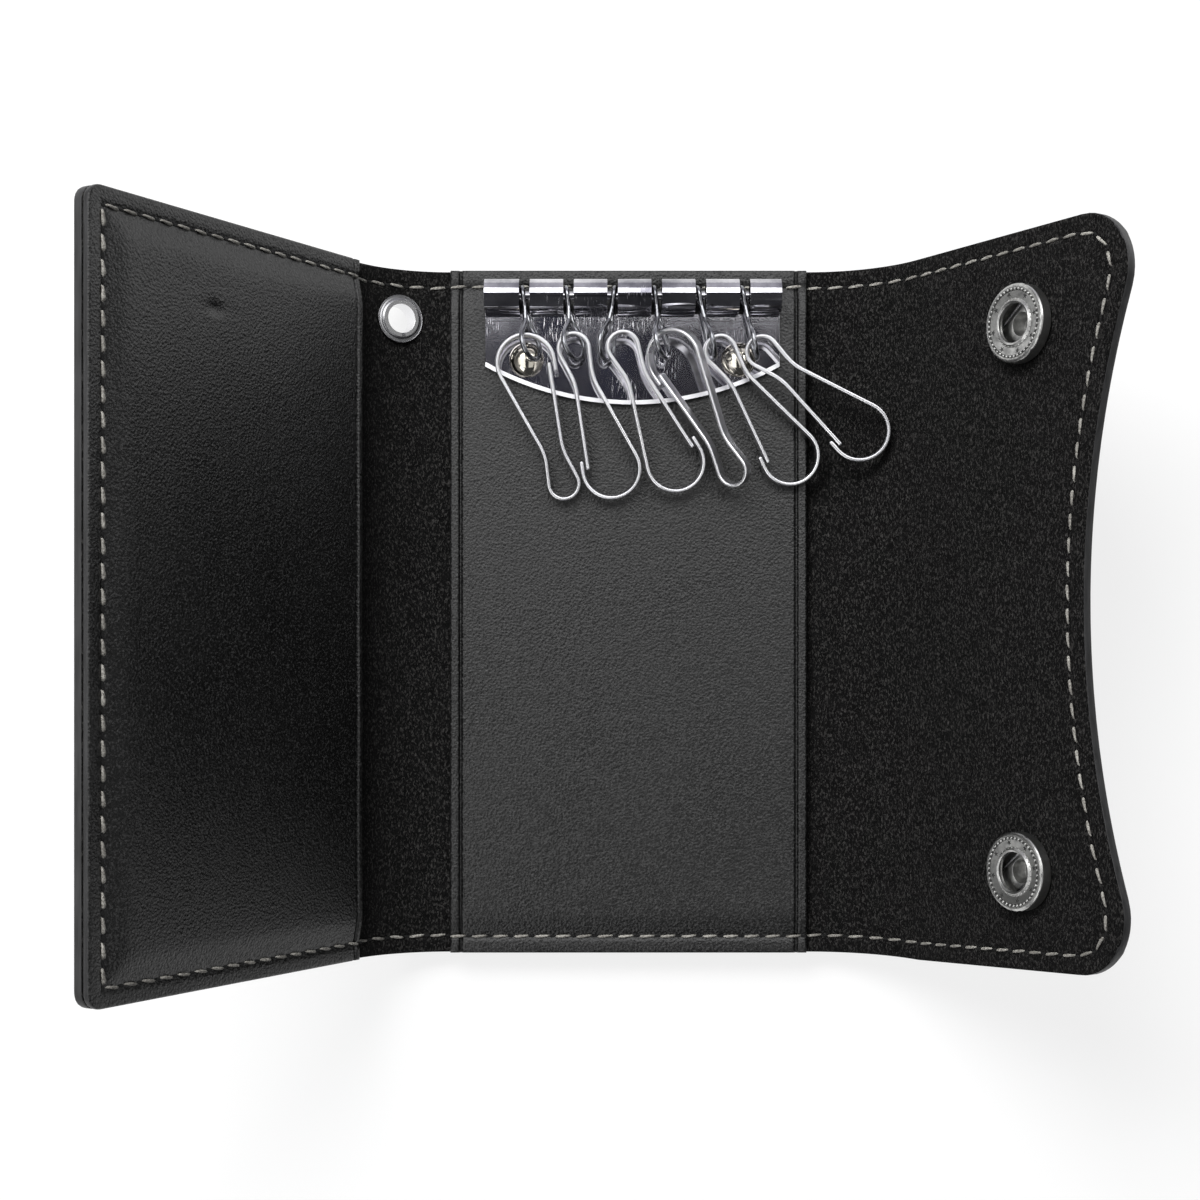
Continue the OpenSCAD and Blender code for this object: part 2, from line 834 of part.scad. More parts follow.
module eyelet_washer() {
    r = eyelet_bore_d / 2 + eyelet_t + run_gap;
    color(nickel_colour)
        on_gusset()
            translate([0, 0, washer_lift])
                difference() {
                    cylinder(h = eyelet_t, r = eyelet_flange_d / 2);
                    translate([0, 0, -over])
                        cylinder(h = eyelet_t + 2 * over, r = r);
                }
}

back_shell();
gusset_shell();
left_flap_shell();
right_wall_shell();
right_flap_shell();
key_panel();
left_flap_lining();
key_plate();
axle();
hanger(0);  // hanger_1
hanger(1);  // hanger_2
hanger(2);  // hanger_3
hanger(3);  // hanger_4
hanger(4);  // hanger_5
hanger(5);  // hanger_6
clip(0);  // clip_1
clip(1);  // clip_2
clip(2);  // clip_3
clip(3);  // clip_4
clip(4);  // clip_5
clip(5);  // clip_6
rivet(-1);  // rivet_left
rivet(1);  // rivet_right
rivet_washer(-1);  // rivet_washer_left
rivet_washer(1);  // rivet_washer_right
eyelet();
eyelet_washer();
snap_cap(1);  // snap_cap_top
snap_cap(-1);  // snap_cap_bottom
snap_socket(1);  // snap_socket_top
snap_socket(-1);  // snap_socket_bottom
snap_spring(1);  // snap_spring_top
snap_spring(-1);  // snap_spring_bottom
snap_stud(1);  // snap_stud_top
snap_stud(-1);  // snap_stud_bottom
stud_post(1);  // stud_post_top
stud_post(-1);  // stud_post_bottom
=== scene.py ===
import json
import math

import bmesh
import bpy
import numpy as np
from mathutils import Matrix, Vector, noise


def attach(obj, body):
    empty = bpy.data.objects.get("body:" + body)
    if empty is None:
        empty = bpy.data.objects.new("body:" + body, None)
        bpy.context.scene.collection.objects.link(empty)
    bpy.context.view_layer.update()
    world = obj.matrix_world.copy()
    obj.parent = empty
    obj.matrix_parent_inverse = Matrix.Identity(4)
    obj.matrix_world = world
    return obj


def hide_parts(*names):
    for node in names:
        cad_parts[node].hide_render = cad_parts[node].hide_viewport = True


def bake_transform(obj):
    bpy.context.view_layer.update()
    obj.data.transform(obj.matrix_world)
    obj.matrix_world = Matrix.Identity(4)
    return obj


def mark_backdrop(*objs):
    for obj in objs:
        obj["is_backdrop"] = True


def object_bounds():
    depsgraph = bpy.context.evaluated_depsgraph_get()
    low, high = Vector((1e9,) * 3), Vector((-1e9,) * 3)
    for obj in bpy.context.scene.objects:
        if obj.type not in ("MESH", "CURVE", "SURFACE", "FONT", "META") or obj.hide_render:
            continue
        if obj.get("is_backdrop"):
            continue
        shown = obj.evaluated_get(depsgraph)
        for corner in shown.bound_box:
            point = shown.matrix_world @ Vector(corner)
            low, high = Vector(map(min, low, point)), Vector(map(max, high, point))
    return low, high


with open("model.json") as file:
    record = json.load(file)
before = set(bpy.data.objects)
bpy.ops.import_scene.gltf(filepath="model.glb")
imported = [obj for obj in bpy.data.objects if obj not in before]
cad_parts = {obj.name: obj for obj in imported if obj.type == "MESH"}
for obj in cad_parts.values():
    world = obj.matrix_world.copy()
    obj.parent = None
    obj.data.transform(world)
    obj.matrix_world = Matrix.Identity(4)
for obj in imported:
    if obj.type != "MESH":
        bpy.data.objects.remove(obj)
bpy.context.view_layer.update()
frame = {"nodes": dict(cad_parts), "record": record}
bpy.ops.object.select_all(action="DESELECT")

# Camera: the case is photographed from straight above its back, from close by, so
# both raised flaps lean away from the lens. The frame is shifted up a little.
MM = 0.001
camera_data = bpy.data.cameras.new("camera")
camera = bpy.data.objects.new("camera", camera_data)
bpy.context.collection.objects.link(camera)
camera.location = (-4.75 * MM, -11.75 * MM, 323.6 * MM)
camera_data.sensor_width = 36
camera_data.lens = 57.6
camera_data.shift_y = 0.0683
camera_data.clip_start, camera_data.clip_end = 0.01, 20
bpy.context.scene.camera = camera


# Studio: a white sweep under three soft lamps. Pale and dark cards hang over the case and
# only reflections show them: leather and polished metal mirror a bright studio there, with
# the dim space round the lens.
def colour(hex_text):
    """An sRGB hex colour as linear RGBA."""
    parts = [int(hex_text[k:k + 2], 16) / 255 for k in (1, 3, 5)]
    return [*(c / 12.92 if c < 0.04045 else ((c + 0.055) / 1.055) ** 2.4 for c in parts), 1]


def add_node(tree, kind, inputs=None, **settings):
    """Adds a node with its settings; inputs gives sockets a value or another node's output."""
    node = tree.nodes.new("ShaderNode" + kind)
    for key, value in settings.items():
        setattr(node, key, value)
    for socket, value in (inputs or {}).items():
        if isinstance(value, bpy.types.NodeSocket):
            tree.links.new(value, node.inputs[socket])
        else:
            node.inputs[socket].default_value = value
    return node


def new_material(name):
    """An empty material and its node tree, with the output node in place."""
    material = bpy.data.materials.new(name)
    material.use_nodes = True
    material.node_tree.nodes.clear()
    return material, material.node_tree, add_node(material.node_tree, "OutputMaterial")


bpy.context.scene.view_settings.view_transform = "Standard"
world = bpy.data.worlds.new("studio")
bpy.context.scene.world = world
world.use_nodes = True
world.node_tree.nodes.clear()
rays = add_node(world.node_tree, "LightPath")
seen = add_node(world.node_tree, "Math",
                {0: rays.outputs["Is Camera Ray"], 1: rays.outputs["Is Transmission Ray"]},
                operation="MAXIMUM")
wall_white = add_node(world.node_tree, "Background",
                      {"Color": colour("#ffffff"), "Strength": 1.0})
wall_light = add_node(world.node_tree, "Background",
                      {"Color": colour("#f4f6ff"), "Strength": 0.05})
wall_mix = add_node(world.node_tree, "MixShader", {0: seen.outputs[0], 1: wall_light.outputs[0],
                                                   2: wall_white.outputs[0]})
add_node(world.node_tree, "OutputWorld", {"Surface": wall_mix.outputs[0]})

# The floor lies just below the lowest point that the bent sides reach when they open flat,
# and fades to pure white away from the case.
floor_z, floor_glow = -2.4, 0.4
fade_from, fade_to = 0.3, 1.1
bpy.ops.mesh.primitive_plane_add(size=6, location=(0, 0, floor_z * MM))
floor = bpy.context.object
floor.name = "floor"
floor_paper, tree, output = new_material("white_paper")
rays = add_node(tree, "LightPath")
paper = add_node(tree, "BsdfDiffuse", {"Color": colour("#f2f2f2")})
bright = add_node(tree, "Math",
                  {0: rays.outputs["Is Camera Ray"], 1: rays.outputs["Is Glossy Ray"]},
                  operation="MAXIMUM")
bright = add_node(tree, "Math", {0: bright.outputs[0], 1: floor_glow}, operation="MAXIMUM")
glow = add_node(tree, "Emission", {"Color": colour("#ffffff"), "Strength": bright.outputs[0]})
away = add_node(tree, "VectorMath", {0: add_node(tree, "TexCoord").outputs["Object"]},
                operation="LENGTH")
share = add_node(tree, "MapRange", {"Value": away.outputs["Value"], "From Min": fade_from,
                                    "From Max": fade_to, "To Min": 0.82, "To Max": 1.0},
                 interpolation_type="SMOOTHSTEP")
mix = add_node(tree, "MixShader", {0: share.outputs[0], 1: paper.outputs[0], 2: glow.outputs[0]})
tree.links.new(mix.outputs[0], output.inputs["Surface"])
floor.data.materials.append(floor_paper)


def studio_card(name, place, aim, size, tint, strength):
    """A card over the case that only reflections show."""
    bpy.ops.mesh.primitive_plane_add(size=1, location=place)
    card = bpy.context.object
    card.name = name
    card.scale = (*size, 1)
    card.rotation_euler = (Vector(aim) - Vector(place)).to_track_quat("Z", "Y").to_euler()
    material, tree, output = new_material(name)
    shine = add_node(tree, "Emission", {"Color": colour(tint), "Strength": strength})
    tree.links.new(shine.outputs[0], output.inputs["Surface"])
    card.data.materials.append(material)
    card.visible_camera = card.visible_shadow = card.visible_diffuse = False
    card.visible_transmission = False
    return card


rear_top_card = studio_card("rear_top_card", (0, 0.45, 0.64), (0, 0.45, 0), (1.0, 0.54),
                            "#ffffff", 3.6)
over_left_card = studio_card("over_left_card", (-0.31, -0.15, 0.64), (-0.31, -0.15, 0),
                             (0.40, 0.66), "#ffffff", 1.6)
over_right_card = studio_card("over_right_card", (0.31, -0.15, 0.64), (0.31, -0.15, 0),
                              (0.40, 0.66), "#ffffff", 0.7)
front_card = studio_card("front_card", (-0.36, -0.5, 0.42), (0, 0, 0.02), (0.36, 0.36),
                         "#ffffff", 2.2)
lamp_gap_left = studio_card("lamp_gap_left", (-0.04, 0.125, 0.62), (-0.04, 0.125, 0), (0.10, 0.10),
                            "#33333e", 1.0)
lamp_gap_right = studio_card("lamp_gap_right", (0.055, 0.125, 0.62), (0.055, 0.125, 0),
                             (0.09, 0.10), "#2b2a32", 1.0)
rear_card = studio_card("rear_card", (0, 0.75, 0.30), (0, 0, 0.02), (1.1, 0.6),
                        "#cfced6", 0.95)
left_card = studio_card("left_card", (-0.62, 0.02, 0.46), (0, 0, 0.02), (0.5, 0.7),
                        "#ffffff", 1.3)
right_card = studio_card("right_card", (0.62, 0.02, 0.46), (0, 0, 0.02), (0.5, 0.7),
                         "#ffffff", 0.25)
low_right_card = studio_card("low_right_card", (0.18, 0.135, 0.03), (-0.06, 0.05, 0.04),
                             (0.12, 0.09), "#ffffff", 2.6)
lens_hood = studio_card("lens_hood", (-0.00475, -0.012, 0.335), (-0.00475, -0.012, 0),
                        (0.035, 0.035), "#0c0c0e", 1.0)
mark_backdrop(floor, rear_top_card, over_left_card, over_right_card, front_card, lamp_gap_left, lamp_gap_right,
         rear_card, left_card, right_card, low_right_card, lens_hood)


def soft_box(name, place, aim, size, power):
    """A soft lamp; the cards stand in for it in reflections."""
    lamp_data = bpy.data.lights.new(name, "AREA")
    lamp_data.shape = "RECTANGLE"
    lamp_data.size, lamp_data.size_y = size
    lamp_data.energy = power
    lamp = bpy.data.objects.new(name, lamp_data)
    bpy.context.collection.objects.link(lamp)
    lamp.location = place
    lamp.rotation_mode = "QUATERNION"
    lamp.rotation_quaternion = (Vector(aim) - Vector(place)).to_track_quat("-Z", "Y")
    lamp.visible_glossy = False


soft_box("soft_box_top", (-0.24, 0.40, 0.52), (0, 0, 0), (0.4, 0.3), 9)
soft_box("soft_box_side", (0.75, 0.25, 0.75), (0, 0, 0.02), (0.5, 0.7), 1.3)
soft_box("soft_box_low", (-0.25, -0.65, 0.6), (0, 0, 0.02), (0.6, 0.4), 1.5)


# Outer leather: one hide, black and smooth outside and rough inside, which lies flat under
# the back and bends up beside it. Four pieces of it are cut here, with seams in the middle
# of the back and of each curved side. The cut edges are rounded and stained.
half_back, half_case, hide = 29.75, 57.0, 1.8
gusset_r, wall_r, rise = 17.5, 20.0, math.radians(58)
gusset_end = half_back + gusset_r * rise
wall_end = half_back + wall_r * rise
seam_in, border = 2.8, 3.2
groove_w, crease_depth, crease_w, edge_round = 0.55, 0.55, 0.24, 0.38


def folded(s, y, h):
    """Where a point of the flat hide goes: s to the right of the back's middle, h over the
    inner face."""
    side, bend_r = (1, wall_r) if s > 0 else (-1, gusset_r)
    d = abs(s) - half_back
    if d <= 0:
        x, z = abs(s), hide + h
    elif d < bend_r * rise:
        x = half_back + (bend_r - h) * math.sin(d / bend_r)
        z = hide + bend_r - (bend_r - h) * math.cos(d / bend_r)
    else:
        d -= bend_r * rise
        x = half_back + (bend_r - h) * math.sin(rise) + d * math.cos(rise)
        z = hide + bend_r - (bend_r - h) * math.cos(rise) + d * math.sin(rise)
    return Vector((side * x, y, z)) * MM


def spaced(*runs):
    """Places along a line from runs of (start, step, end), with the ends kept."""
    out = []
    for start, step, end in runs:
        n = max(1, round((end - start) / step))
        out += [start + (end - start) * k / n for k in range(n)]
    return out + [runs[-1][2]]


from_edge = [0.9, 1.5, 1.9, 2.2, 2.5, 2.8, 3.1, 3.4, 3.8, 4.4, 5.2, 6.2, 7.4]
open_in, open_step = 9, 2.2


def sewn_rows(low, high):
    """Places across the folds, close together at the two sewn edges."""
    return [low, *(low + d for d in from_edge),
            *spaced((low + open_in, open_step, high - open_in)),
            *(high - d for d in from_edge[::-1]), high]


def polyline(points, shares):
    """Points at shares of a line's length."""
    points = np.array(points, float)
    run = np.concatenate([[0], np.cumsum(np.linalg.norm(np.diff(points, axis=0), axis=1))])
    return np.stack([np.interp(np.array(shares) * run[-1], run, points[:, k]) for k in (0, 1)], 1)


def off_line(points, lines):
    """Distance of each point from the nearest of some lines."""
    best = np.full(len(points), 1e9)
    for line in lines:
        line = np.array(line, float)
        for a, b in zip(line[:-1], line[1:]):
            t = np.clip(((points - a) @ (b - a)) / max((b - a) @ (b - a), 1e-12), 0, 1)
            best = np.minimum(best, np.linalg.norm(points - a - t[:, None] * (b - a), axis=1))
    return best


def edit(thing, select=None):
    """Opens a mesh for editing with all of it selected, or only the edges that select picks."""
    bpy.ops.object.select_all(action="DESELECT")
    thing.select_set(True)
    bpy.context.view_layer.objects.active = thing
    bpy.ops.object.mode_set(mode="EDIT")
    bpy.ops.mesh.select_mode(type="EDGE")
    bpy.ops.mesh.select_all(action="DESELECT" if select else "SELECT")
    if select:
        mesh = bmesh.from_edit_mesh(thing.data)
        for edge in mesh.edges:
            if select(edge):
                edge.select_set(True)
        bmesh.update_edit_mesh(thing.data)


def close():
    """Ends editing, with nothing selected."""
    bpy.ops.object.mode_set(mode="OBJECT")
    bpy.ops.object.select_all(action="DESELECT")


def modify(thing, kind, **settings):
    """Adds a modifier and applies it."""
    bpy.ops.object.select_all(action="DESELECT")
    bpy.context.view_layer.objects.active = thing
    thing.select_set(True)
    modifier = thing.modifiers.new(kind.lower(), kind)
    for key, value in settings.items():
        setattr(modifier, key, value)
    bpy.ops.object.modifier_apply(modifier=modifier.name)
    thing.select_set(False)


def cut_leather(name, thick, top, start, low, free, high, cols, rows, cut, holes=()):
    """A flat sheet between four edge lines, with rounded edges along the cut lines.
    start and free run upwards along the folds, low and high run away from the start."""
    u, v = np.array(cols), np.array(rows)
    s_line, f_line = polyline(start, v), polyline(free, v)
    l_line, h_line = polyline(low, u), polyline(high, u)
    bpy.ops.mesh.primitive_grid_add(x_subdivisions=len(u) - 1, y_subdivisions=len(v) - 1, size=1)
    sheet = bpy.context.object
    sheet.name = sheet.data.name = name
    for vertex in sheet.data.vertices:
        i = round((vertex.co.x + 0.5) * (len(u) - 1))
        j = round((vertex.co.y + 0.5) * (len(v) - 1))
        a, b = u[i], v[j]
        flat = ((1 - b) * l_line[i] + b * h_line[i] + (1 - a) * s_line[j] + a * f_line[j]
                - (1 - a) * (1 - b) * l_line[0] - a * (1 - b) * l_line[-1]
                - (1 - a) * b * h_line[0] - a * b * h_line[-1])
        vertex.co = (*flat, top)
    edit(sheet)
    bpy.ops.mesh.normals_make_consistent(inside=False)
    close()
    if sheet.data.polygons[0].normal.z < 0:
        edit(sheet)
        bpy.ops.mesh.flip_normals()
        close()
    modify(sheet, "SOLIDIFY", thickness=thick, offset=-1, use_rim=True)
    places = np.array([vertex.co for vertex in sheet.data.vertices])
    on_rim = off_line(places[:, :2], cut) < 2e-3

    def cut_edge(edge):
        a, b = edge.verts
        return on_rim[a.index] and on_rim[b.index] and abs(a.co.z - b.co.z) < 1e-3

    edit(sheet, cut_edge)
    bpy.ops.mesh.bevel(offset=edge_round, segments=3, profile=0.5, affect="EDGES")
    close()
    for place, radius in holes:
        bpy.ops.mesh.primitive_cylinder_add(vertices=48, radius=radius, depth=4 * thick,
                                            location=(*place, top - thick / 2))
        punch = bpy.context.object
        modify(sheet, "BOOLEAN", operation="DIFFERENCE", object=punch, solver="EXACT")
        bpy.data.objects.remove(punch)
    return sheet


def ease(t):
    """A smooth step from 0 to 1."""
    t = min(1.0, max(0.0, t))
    return t * t * (3 - 2 * t)


def lay_leather(sheet, top, thick, sewn, materials, swell=None, groove=(0.24, 0.24),
                creases=()):
    """Presses the seam groove and the creases, swells the sheet, and folds it into the case."""
    for material in materials:
        sheet.data.materials.append(material)
    for face in sheet.data.polygons:
        face.material_index = 0 if face.normal.z > 0.6 else 1 if face.normal.z < -0.6 else 2
    flat = np.array([vertex.co for vertex in sheet.data.vertices])
    distance = off_line(flat[:, :2], sewn)
    for vertex, d in zip(sheet.data.vertices, distance):
        s, y, h = vertex.co
        share = (top - h) / thick
        press = math.exp(-((d - seam_in) / groove_w) ** 2)
        lift = -press * groove[0] * (1 - share) + press * groove[1] * share
        lift -= sum(crease_depth * math.exp(-((s - line) / crease_w) ** 2)
                    for line in creases) * (1 - share)
        if swell:
            lift += swell(s, y, d)
        vertex.co = folded(s, y, h + lift)
    sheet.select_set(True)
    bpy.context.view_layer.objects.active = sheet
    bpy.ops.object.shade_smooth_by_angle(angle=math.radians(40))
    sheet.select_set(False)


# Full-grain cowhide, drum-dyed black and waxed: a soft sheen over fine pores, small
# wrinkles and cloudy dye. The pores are drawn about 0.4 mm apart, coarser than a real
# hide's, so that they show.
def ramp(tree, value, start, end, low=0.0, high=1.0):
    """Maps a node's first output from start..end to low..high."""
    return add_node(tree, "MapRange", {"Value": value.outputs[0], "From Min": start,
                                       "From Max": end, "To Min": low, "To Max": high})


def mixed(tree, share, low, high):
    """A colour between low and high, each a hex text or a node's output. A Mix node's
    colours are its inputs 6 and 7 and its output 2."""
    low, high = (colour(tone) if isinstance(tone, str) else tone for tone in (low, high))
    mix = add_node(tree, "Mix", {0: share.outputs[0], 6: low, 7: high}, data_type="RGBA")
    return mix.outputs[2]


smooth_leather, tree, output = new_material("black_full_grain_leather")
where = add_node(tree, "TexCoord").outputs["Object"]
cloud = add_node(tree, "TexNoise", {"Vector": where, "Scale": 55.0, "Detail": 5.0,
                                    "Roughness": 0.6})
grain = add_node(tree, "TexNoise", {"Vector": where, "Scale": 2900.0, "Detail": 2.0,
                                    "Roughness": 0.6})
pores = add_node(tree, "TexVoronoi", {"Vector": where, "Scale": 2300.0, "Randomness": 1.0},
                 feature="F1")
stretch = add_node(tree, "Mapping", {"Vector": where, "Scale": (420.0, 170.0, 420.0),
                                     "Rotation": (0, 0, 0.35)})
wrinkle = add_node(tree, "TexNoise", {"Vector": stretch.outputs[0], "Scale": 1.0, "Detail": 6.0,
                                      "Roughness": 0.62, "Distortion": 0.9})
speck = ramp(tree, grain, 0.53, 0.62)
base = mixed(tree, ramp(tree, cloud, 0.35, 0.68), "#040404", "#0b0b0b")
base = mixed(tree, speck, base, "#262626")
rough = ramp(tree, cloud, 0.3, 0.7, 0.29, 0.36)
rough = add_node(tree, "Math", {0: speck.outputs[0], 1: 0.3, 2: rough.outputs[0]},
                 operation="MULTIPLY_ADD")
height = add_node(tree, "Math", {0: pores.outputs["Distance"], 1: grain.outputs[0]},
                  operation="ADD")
height = add_node(tree, "Math", {0: wrinkle.outputs[0], 1: 0.25, 2: height.outputs[0]},
                  operation="MULTIPLY_ADD")
bump = add_node(tree, "Bump", {"Height": height.outputs[0], "Strength": 0.55,
                               "Distance": 0.00013})
skin = add_node(tree, "BsdfPrincipled", {"Base Color": base, "Roughness": rough.outputs[0],
                                         "Normal": bump.outputs[0], "IOR": 1.5})
tree.links.new(skin.outputs[0], output.inputs["Surface"])

# The hide's flesh side, sueded: short dark fibres that catch light in brown-grey specks.
# The specks are drawn about 0.4 mm across, coarser than real fibres, so that they show.
suede, tree, output = new_material("black_suede")
where = add_node(tree, "TexCoord").outputs["Object"]
comb = add_node(tree, "Mapping", {"Vector": where, "Scale": (3600.0, 1900.0, 3600.0),
                                  "Rotation": (0, 0, 0.12)})
fibre = add_node(tree, "TexNoise", {"Vector": comb.outputs[0], "Scale": 1.0, "Detail": 2.0,
                                    "Roughness": 0.6, "Distortion": 0.6})
nap = add_node(tree, "TexNoise", {"Vector": where, "Scale": 420.0, "Detail": 3.0,
                                  "Roughness": 0.6})
base = mixed(tree, ramp(tree, nap, 0.3, 0.7), "#040404", "#0b0b0b")
base = mixed(tree, ramp(tree, fibre, 0.50, 0.75), base, "#393837")
bump = add_node(tree, "Bump", {"Height": fibre.outputs[0], "Strength": 0.8,
                               "Distance": 0.0003})
skin = add_node(tree, "BsdfPrincipled", {"Base Color": base, "Roughness": 0.92,
                                         "Specular IOR Level": 0.12, "IOR": 1.45,
                                         "Normal": bump.outputs[0], "Sheen Weight": 0.03,
                                         "Sheen Roughness": 0.4,
                                         "Sheen Tint": colour("#808080")})
tree.links.new(skin.outputs[0], output.inputs["Surface"])

# The cut edge, stained black and rubbed smooth: faint layers of fibre run along it, drawn
# coarser than real ones so that they show.
edge_leather, tree, output = new_material("stained_leather_edge")
where = add_node(tree, "TexCoord").outputs["Object"]
layer = add_node(tree, "Mapping", {"Vector": where, "Scale": (1600.0, 160.0, 1600.0)})
layers = add_node(tree, "TexNoise", {"Vector": layer.outputs[0], "Scale": 1.0, "Detail": 3.0})
base = mixed(tree, ramp(tree, layers, 0.35, 0.7), "#0e0e0f", "#262627")
bump = add_node(tree, "Bump", {"Height": layers.outputs[0], "Strength": 0.4,
                               "Distance": 0.00015})
skin = add_node(tree, "BsdfPrincipled", {"Base Color": base, "Roughness": 0.5,
                                         "Normal": bump.outputs[0], "IOR": 1.5})
tree.links.new(skin.outputs[0], output.inputs["Surface"])

# Back, gusset and right wall: two sheets that meet in the middle of the back and end in
# the middle of each curved side. The gusset's one has the eyelet's hole.
fold_reach, fold_zone, fold_step, bend_step = 2.2, 3, 0.5, 0.9


def straight(s):
    """An upright edge line over the case's whole height."""
    return [(s, -half_case), (s, half_case)]


def share_of(places):
    """Places as shares of the way from the first to the last."""
    places = np.array(places, float)
    return (places - places[0]) / (places[-1] - places[0])


rows = share_of(sewn_rows(-half_case, half_case))
gusset_mid, wall_mid = half_back + gusset_r * rise / 2, half_back + wall_r * rise / 2
eyelet_lean, eyelet_hole_r = math.radians(29), 2.81
eyelet_at = (-(half_back + gusset_r * eyelet_lean), half_case - 8.4)
for name, sign, mid, hole in (
        ("leather_back_left", -1, gusset_mid, [(eyelet_at, eyelet_hole_r)]),
        ("leather_back_right", 1, wall_mid, [])):
    cols = spaced((0, 3, half_back - fold_zone),
                  (half_back - fold_zone, fold_step, half_back + fold_zone),
                  (half_back + fold_zone, bend_step, mid))
    low, high = ([(0, y), (sign * mid, y)] for y in (-half_case, half_case))
    sheet = cut_leather(name, hide, 0, straight(0), low, straight(sign * mid), high,
                        share_of(cols), rows, [low, high], hole)
    lay_leather(sheet, 0, hide, [low, high], [suede, smooth_leather, edge_leather])
    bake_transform(sheet)
    if sign < 0:
        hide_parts("back_shell", "gusset_shell")
    else:
        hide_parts("right_wall_shell")


# Left flap: the wide end of the hide, cut square with small round corners. The posts of
# the two studs pass through it.
left_w, left_r = 59.0, 2.5


def arc(centre, radius, start, end, steps=10):
    """Points on an arc, with its angles in degrees."""
    return [(centre[0] + radius * math.cos(math.radians(start + (end - start) * k / steps)),
             centre[1] + radius * math.sin(math.radians(start + (end - start) * k / steps)))
            for k in range(steps + 1)]


def left_edges(first):
    """Low, free and high edge lines of a sheet that ends at the left flap's free edge."""
    end = -(gusset_end + left_w)
    x, y = end + left_r, half_case - left_r
    low = [(first, -half_case), *arc((x, -y), left_r, 270, 225, 5)]
    high = [(first, half_case), *arc((x, y), left_r, 90, 135, 5)]
    free = [*arc((x, -y), left_r, 225, 180, 5), *arc((x, y), left_r, 180, 135, 5)]
    return low, free, high


def fold_run(mid, fold, end):
    """Columns from mid over the fold to the free edge, close at the fold and the seam."""
    return [*spaced((mid, bend_step, fold - fold_zone),
                    (fold - fold_zone, fold_step, fold + fold_zone),
                    (fold + fold_zone, open_step, end - open_in)),
            *(end - d for d in from_edge[::-1]), end]


snap_s, snap_y, snap_pitch = 24.6, 1.05, 83.0
stud_s = 2 * half_back - snap_s
post_hole_r, tube_hole_r = 1.25, 2.35
snap_rows = [snap_y + snap_pitch / 2, snap_y - snap_pitch / 2]
low, free, high = left_edges(-gusset_mid)
cols = share_of(fold_run(gusset_mid, gusset_end, gusset_end + left_w))
sheet = cut_leather("leather_left_flap", hide, 0, straight(-gusset_mid), low, free, high, cols,
                    rows, [low, free, high],
                    [*(((-(gusset_end + stud_s), y), post_hole_r) for y in snap_rows),
                     (eyelet_at, eyelet_hole_r)])
lay_leather(sheet, 0, hide, [low, free, high], [suede, smooth_leather, edge_leather])
left_fold = [tuple(folded(-(gusset_end + d), 0, 0)) for d in (-fold_reach, fold_reach)]
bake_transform(sheet)
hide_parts("left_flap_shell")

# Right flap: the hide's other end, with two round horns and a scooped edge between them.
# Its rough side shows, and the tubes of the two snaps pass through it.
right_w, scoop, horn_r, run_in, horn_split = 45.7, 9.2, 9.0, 2.1, 35
scoop_r = ((half_case - horn_r) ** 2 + scoop ** 2) / (2 * scoop)
scoop_x = wall_end + right_w - scoop + scoop_r
top_y, low_y = half_case - horn_r, half_case - run_in - horn_r
top_x, low_x = (scoop_x - math.sqrt((scoop_r + horn_r) ** 2 - y * y) for y in (top_y, low_y))
top_turn, low_turn = (math.degrees(math.asin(y / (scoop_r + horn_r))) for y in (top_y, low_y))
low = [(wall_mid, -half_case), (wall_end, -half_case),
       *arc((low_x, -low_y), horn_r, -90, -horn_split)]
high = [(wall_mid, half_case), (wall_end, half_case),
        *arc((top_x, top_y), horn_r, 90, horn_split)]
free = [*arc((low_x, -low_y), horn_r, -horn_split, low_turn),
        *arc((scoop_x, 0), scoop_r, 180 + low_turn, 180 - top_turn, 24)[1:-1],
        *arc((top_x, top_y), horn_r, -top_turn, horn_split)]
cols = share_of(fold_run(wall_mid, wall_end, wall_end + right_w))
sheet = cut_leather("leather_right_flap", hide, 0, straight(wall_mid), low, free, high, cols,
                    rows, [low, free, high],
                    [((wall_end + snap_s, y), tube_hole_r) for y in snap_rows])
lay_leather(sheet, 0, hide, [low, free, high], [suede, smooth_leather, edge_leather])
right_fold = [tuple(folded(wall_end + d, 0, 0)) for d in (-fold_reach, fold_reach)]
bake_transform(sheet)
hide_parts("right_flap_shell")

# Key panel: smooth leather over the back, sewn at its top and bottom and open at its
# sides. It is pressed down along the seams and stands off the hide between them.
panel_t, sewn_gap = 1.2, 0.03
crease_in, crease_from, crease_to = 1.75, 1.2, 2.4
row_x, rivet_out, rivet_y, rivet_hole_r = 0.65, 17.6, 41.75, 1.25
cols = spaced((-half_back, 0.45, -half_back + crease_from),
              (-half_back + crease_from, 0.12, -half_back + crease_to),
              (-half_back + crease_to, 2.4, half_back - crease_to),
              (half_back - crease_to, 0.12, half_back - crease_from),
              (half_back - crease_from, 0.45, half_back))
low, high = ([(-half_back, y), (half_back, y)] for y in (-half_case, half_case))
sides = [straight(-half_back), straight(half_back)]
sheet = cut_leather("panel_leather", panel_t, panel_t, sides[0], low, sides[1], high,
                    share_of(cols), rows, [low, high, *sides],
                    [((row_x + x, rivet_y), rivet_hole_r) for x in (-rivet_out, rivet_out)])


def panel_lift(s, y, d):
    """The panel's height over the hide, from the seams inwards; lay_leather gives all
    three places, and only y counts here."""
    return sewn_gap + 0.57 * ease((half_case - abs(y) - border) / 3.4)


lay_leather(sheet, panel_t, panel_t, [low, high], [smooth_leather, suede, edge_leather],
            panel_lift, (0.26, 0), (crease_in - half_back, half_back - crease_in))
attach(sheet, "spine")
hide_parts("key_panel")

